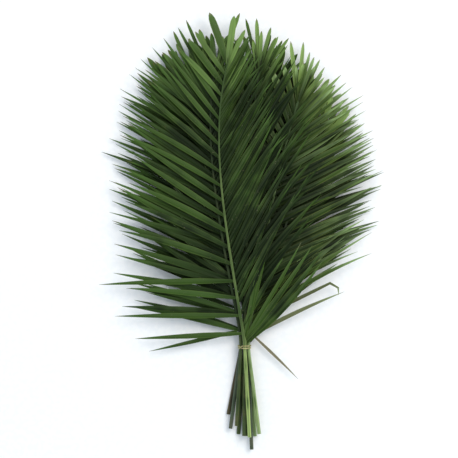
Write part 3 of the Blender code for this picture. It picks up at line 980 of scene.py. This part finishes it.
    def stem(self, skin: Material) -> Piece:
        """The petiole and rachis as a sweep of ovals.

        A ring's half width is the radius, more on the side of a leaflet base by a bell curve round it, and
        less along the top by a bell curve that makes the channel. The first and last rings are bevelled.

        Args:
            skin: finish of the stem.

        Returns:
            The piece.
        """
        size, route = self.rachis, self.route
        count = math.ceil((route.stem + self.plan.length) / size.ring_gap)
        s = np.linspace(-route.stem, self.plan.length, count)
        s = np.concatenate([s[:1], s[:1], s[:1] + size.bevel, s[1:], s[-1:]])
        scale = np.ones(len(s))
        scale[[0, 1, -1]] = size.end_rings
        turn = 2 * np.pi * (np.arange(size.sides) + 0.5) / size.sides
        away = (s[:, None] - self.s) / size.swelling_reach
        swell = np.exp(-(away**2)) * size.swelling
        hands = np.stack([swell @ (self.side > 0), swell @ (self.side < 0)], axis=-1)
        leafy = smoothstep((s - self.s.min() + size.leafy_before) / size.leafy_length)[:, None]
        sideways = np.stack([np.maximum(np.cos(turn), 0.0), np.maximum(-np.cos(turn), 0.0)])
        groove = np.exp(-(((turn - QUARTER_TURN) / size.channel_width) ** 2))
        channel = size.channel * groove * mix(size.bare_channel, 1.0, leafy)
        swollen = hands @ sideways**2 * size.swelling_out
        radius = self.radius(s)[:, None] * (1 - channel) * scale[:, None] + swollen
        flat = mix(1.0, size.flatness, smoothstep(s / self.pile.spread))[:, None]
        centre = route.at(s)
        rightward = forward(route.heading(s) + QUARTER_TURN)
        spot = centre[:, None, :] + rightward[:, None, :] * (radius * np.cos(turn))[..., None]
        height = self.pile.height(self.plan, centre)[:, None] + flat * radius * np.sin(turn)
        points = np.concatenate([spot, np.maximum(height, 0.0)[..., None]], axis=-1)
        numbers = {"along": s[:, None] * MM, "around": np.sin(turn) * radius * MM, "groove": groove}
        numbers |= {"leafy": leafy, "cut": (np.arange(len(s)) < 2)[:, None]}
        faces = sweep_faces(1, len(s), size.sides)
        return Piece(self.node + "_stem", points, faces, [skin], size.crease, numbers)

    def build(self, leaves: Material, under: Material, skin: Material, shift: Array) -> list[Object]:
        """Builds and dresses the frond, which stands for its CAD node.

        Args:
            leaves: finish of the leaflets' upper faces.
            under: finish of their undersides.
            skin: finish of the stem.
            shift: where the tie's middle lies in the frame.

        Returns:
            The leaflets and the stem.
        """
        made = [self.leaflets(leaves, under).make(shift), self.stem(skin).make(shift)]
        for piece in made:
            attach(piece, "root")
            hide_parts(self.node)
        return made


@dataclass
class ElasticBand:
    """The band that holds the stems: a closed rubber strand, wound twice. Its places are in turns."""

    pile: Pile
    plans: tuple[FrondPlan, ...]
    thickness: float = 1.1
    width: float = 1.5
    clearance: float = 0.35
    corner_sides: int = 8
    turns: int = 2
    outline_steps: int = 720
    steps: int = 150
    sides: int = 12
    spacing: float = 1.55
    crossing: float = 0.434
    crossing_half: float = 0.05
    crossing_gap: float = 0.35
    hump_half: float = 0.11
    roundness: float = 0.75
    crease: float = 70.0

    def __post_init__(self) -> None:
        """Works out the stems' places at the tie and how far the strand lies from them."""
        pile, tie = self.pile, np.array(0.0)
        corner = pile.bundle.tie_radius / math.cos(math.pi / self.corner_sides)
        self.reach = corner + self.clearance + self.thickness / 2
        pitch = pile.bundle.column_pitch
        self.stems = np.array([[p.column * pitch, pile.stem_height(p.row, tie)] for p in self.plans])
        self.right_edge = self.stems[:, 0].max() + self.reach + self.thickness / 2

    def outline(self) -> tuple[Array, Array]:
        """One turn: for every direction the outermost stem, pushed out by the reach, spaced evenly by length.

        Returns:
            Points across and up, and outward directions.
        """
        turn = 2 * np.pi * np.arange(self.outline_steps + 1) / self.outline_steps
        out = np.stack([np.cos(turn), np.sin(turn)], axis=-1)
        line = self.stems[np.argmax(out @ self.stems.T, axis=1)] + self.reach * out
        walked = np.concatenate([[0.0], np.cumsum(np.hypot(*np.diff(line, axis=0).T))])
        even = np.linspace(0.0, walked[-1], self.steps, endpoint=False)
        spots = np.stack([np.interp(even, walked, line[:, i]) for i in range(2)], axis=-1)
        turns = np.interp(even, walked, turn)
        return spots, np.stack([np.cos(turns), np.sin(turns)], axis=-1)

    def build(self, rubber: Material, shift: Array) -> Object:
        """Sweeps a rounded flat section twice round the outline.

        The strand keeps to one side for a turn and swings across at the crossing, where it rides outward over
        its other turn on an even hump.

        Args:
            rubber: finish of the band.
            shift: where the tie's middle lies in the frame.

        Returns:
            The band.
        """
        spots, out = (np.tile(half, (self.turns, 1)) for half in self.outline())
        lap = np.arange(len(spots)) / self.steps - self.crossing
        nearest = np.round(lap)
        swing = 2 * smoothstep(0.5 + (lap - nearest) / (2 * self.crossing_half)) - 1
        hand = np.where(nearest % self.turns == 0, 1.0, -1.0)
        away = np.abs(lap - self.turns * np.round(lap / self.turns))
        hump = smoothstep((self.hump_half - away) / (self.hump_half - self.crossing_half))
        turn = 2 * np.pi * np.arange(self.sides) / self.sides
        bulge = np.sign(np.sin(turn)) * np.abs(np.sin(turn)) ** self.roundness
        outward = hump[:, None] * (self.thickness + self.crossing_gap) + self.thickness / 2 * bulge
        y = (hand * swing * self.spacing)[:, None] + self.width / 2 * np.cos(turn)
        section = spots[:, None, :] + out[:, None, :] * outward[..., None]
        points = np.stack([section[..., 0], y, section[..., 1]], axis=-1)
        faces = sweep_faces(1, len(spots), self.sides, looped=True)
        band = Piece("tie_band", points, faces, [rubber], self.crease).make(shift)
        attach(band, "root")
        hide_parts("tie")
        return band


@dataclass(frozen=True)
class Studio:
    """A white paper ground under one large soft lamp and an even pale sky. Lengths here are metres."""

    ground_side: float = 6.0
    ground_drop: float = 0.0004
    picture_centre: Pair = (-0.017, 0.0038)
    picture_side: float = 0.6288
    picture_height: float = 0.015
    camera_height: float = 3.0
    sensor: float = 36.0
    key_bearing: float = 48.0
    key_elevation: float = 57.0
    key_distance: float = 3.2
    key_size: float = 1.8
    key_power: float = 58.0
    key_colour: str = "#FFF8EE"
    sky_colour: str = "#E9F2FC"
    sky_strength: float = 0.9

    def ground(self, paper: Material) -> None:
        """Args:
            paper: its finish.
        """
        half, z = self.ground_side / 2, -self.ground_drop
        corners = [(-half, -half, z), (half, -half, z), (half, half, z), (-half, half, z)]
        mesh = bpy.data.meshes.new("white_ground")
        mesh.from_pydata(corners, [], [(0, 1, 2, 3)])
        mesh.materials.append(paper)
        ground = bpy.data.objects.new("white_ground", mesh)
        bpy.context.scene.collection.objects.link(ground)

    def light(self) -> None:
        """Hangs the key lamp at upper right and fills with a pale sky."""
        bearing, elevation = math.radians(self.key_bearing), math.radians(self.key_elevation)
        lamp = bpy.data.lights.new("soft_key", "AREA")
        lamp.shape = "SQUARE"
        lamp.size = self.key_size
        lamp.energy = self.key_power
        lamp.color = linear(self.key_colour)[:3]
        key = bpy.data.objects.new("soft_key", lamp)
        level = math.cos(elevation)
        way = (math.sin(bearing) * level, math.cos(bearing) * level, math.sin(elevation))
        key.location = [self.key_distance * part for part in way]
        key.rotation_euler = (QUARTER_TURN - elevation, 0.0, math.pi - bearing)
        bpy.context.scene.collection.objects.link(key)
        world = bpy.data.worlds.new("pale_sky")
        world.use_nodes = True
        sky = world.node_tree.nodes["Background"]
        sky.inputs["Color"].default_value = linear(self.sky_colour)
        sky.inputs["Strength"].default_value = self.sky_strength
        bpy.context.scene.world = world

    def camera(self) -> None:
        """Hangs the scene's camera straight over the middle of the picture."""
        made = bpy.data.cameras.new("overhead_camera")
        made.sensor_width = self.sensor
        made.lens = self.sensor * (self.camera_height - self.picture_height) / self.picture_side
        camera = bpy.data.objects.new("overhead_camera", made)
        camera.location = (*self.picture_centre, self.camera_height)
        bpy.context.scene.collection.objects.link(camera)
        bpy.context.scene.camera = camera


def main() -> None:
    """Builds every frond, the band and the studio, and reports each piece."""
    logging.basicConfig(level=logging.INFO, format="%(message)s")
    pile = Pile()
    band = ElasticBand(pile, FRONDS)
    low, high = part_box("tie")
    shift = np.array([high.x / MM - band.right_edge, (low.y + high.y) / 2 / MM])
    leaves = {tone: finish.build() for tone, finish in LEAF_FINISHES.items()}
    stems = {tone: finish.build() for tone, finish in STEM_FINISHES.items()}
    under = UNDERSIDE.build()
    made = []
    for plan in FRONDS:
        made += Frond(plan, pile).build(leaves[plan.leaves], under, stems[plan.stem], shift)
    made.append(band.build(RubberFinish().build(), shift))
    for piece in made:
        mesh = piece.data
        log.info("%s: %d faces, %d materials", piece.name, len(mesh.polygons), len(mesh.materials))
    studio = Studio()
    studio.ground(PaperFinish().build())
    studio.light()
    studio.camera()
    bpy.context.scene.view_settings.view_transform = "Standard"


if __name__ == "__main__":
    main()
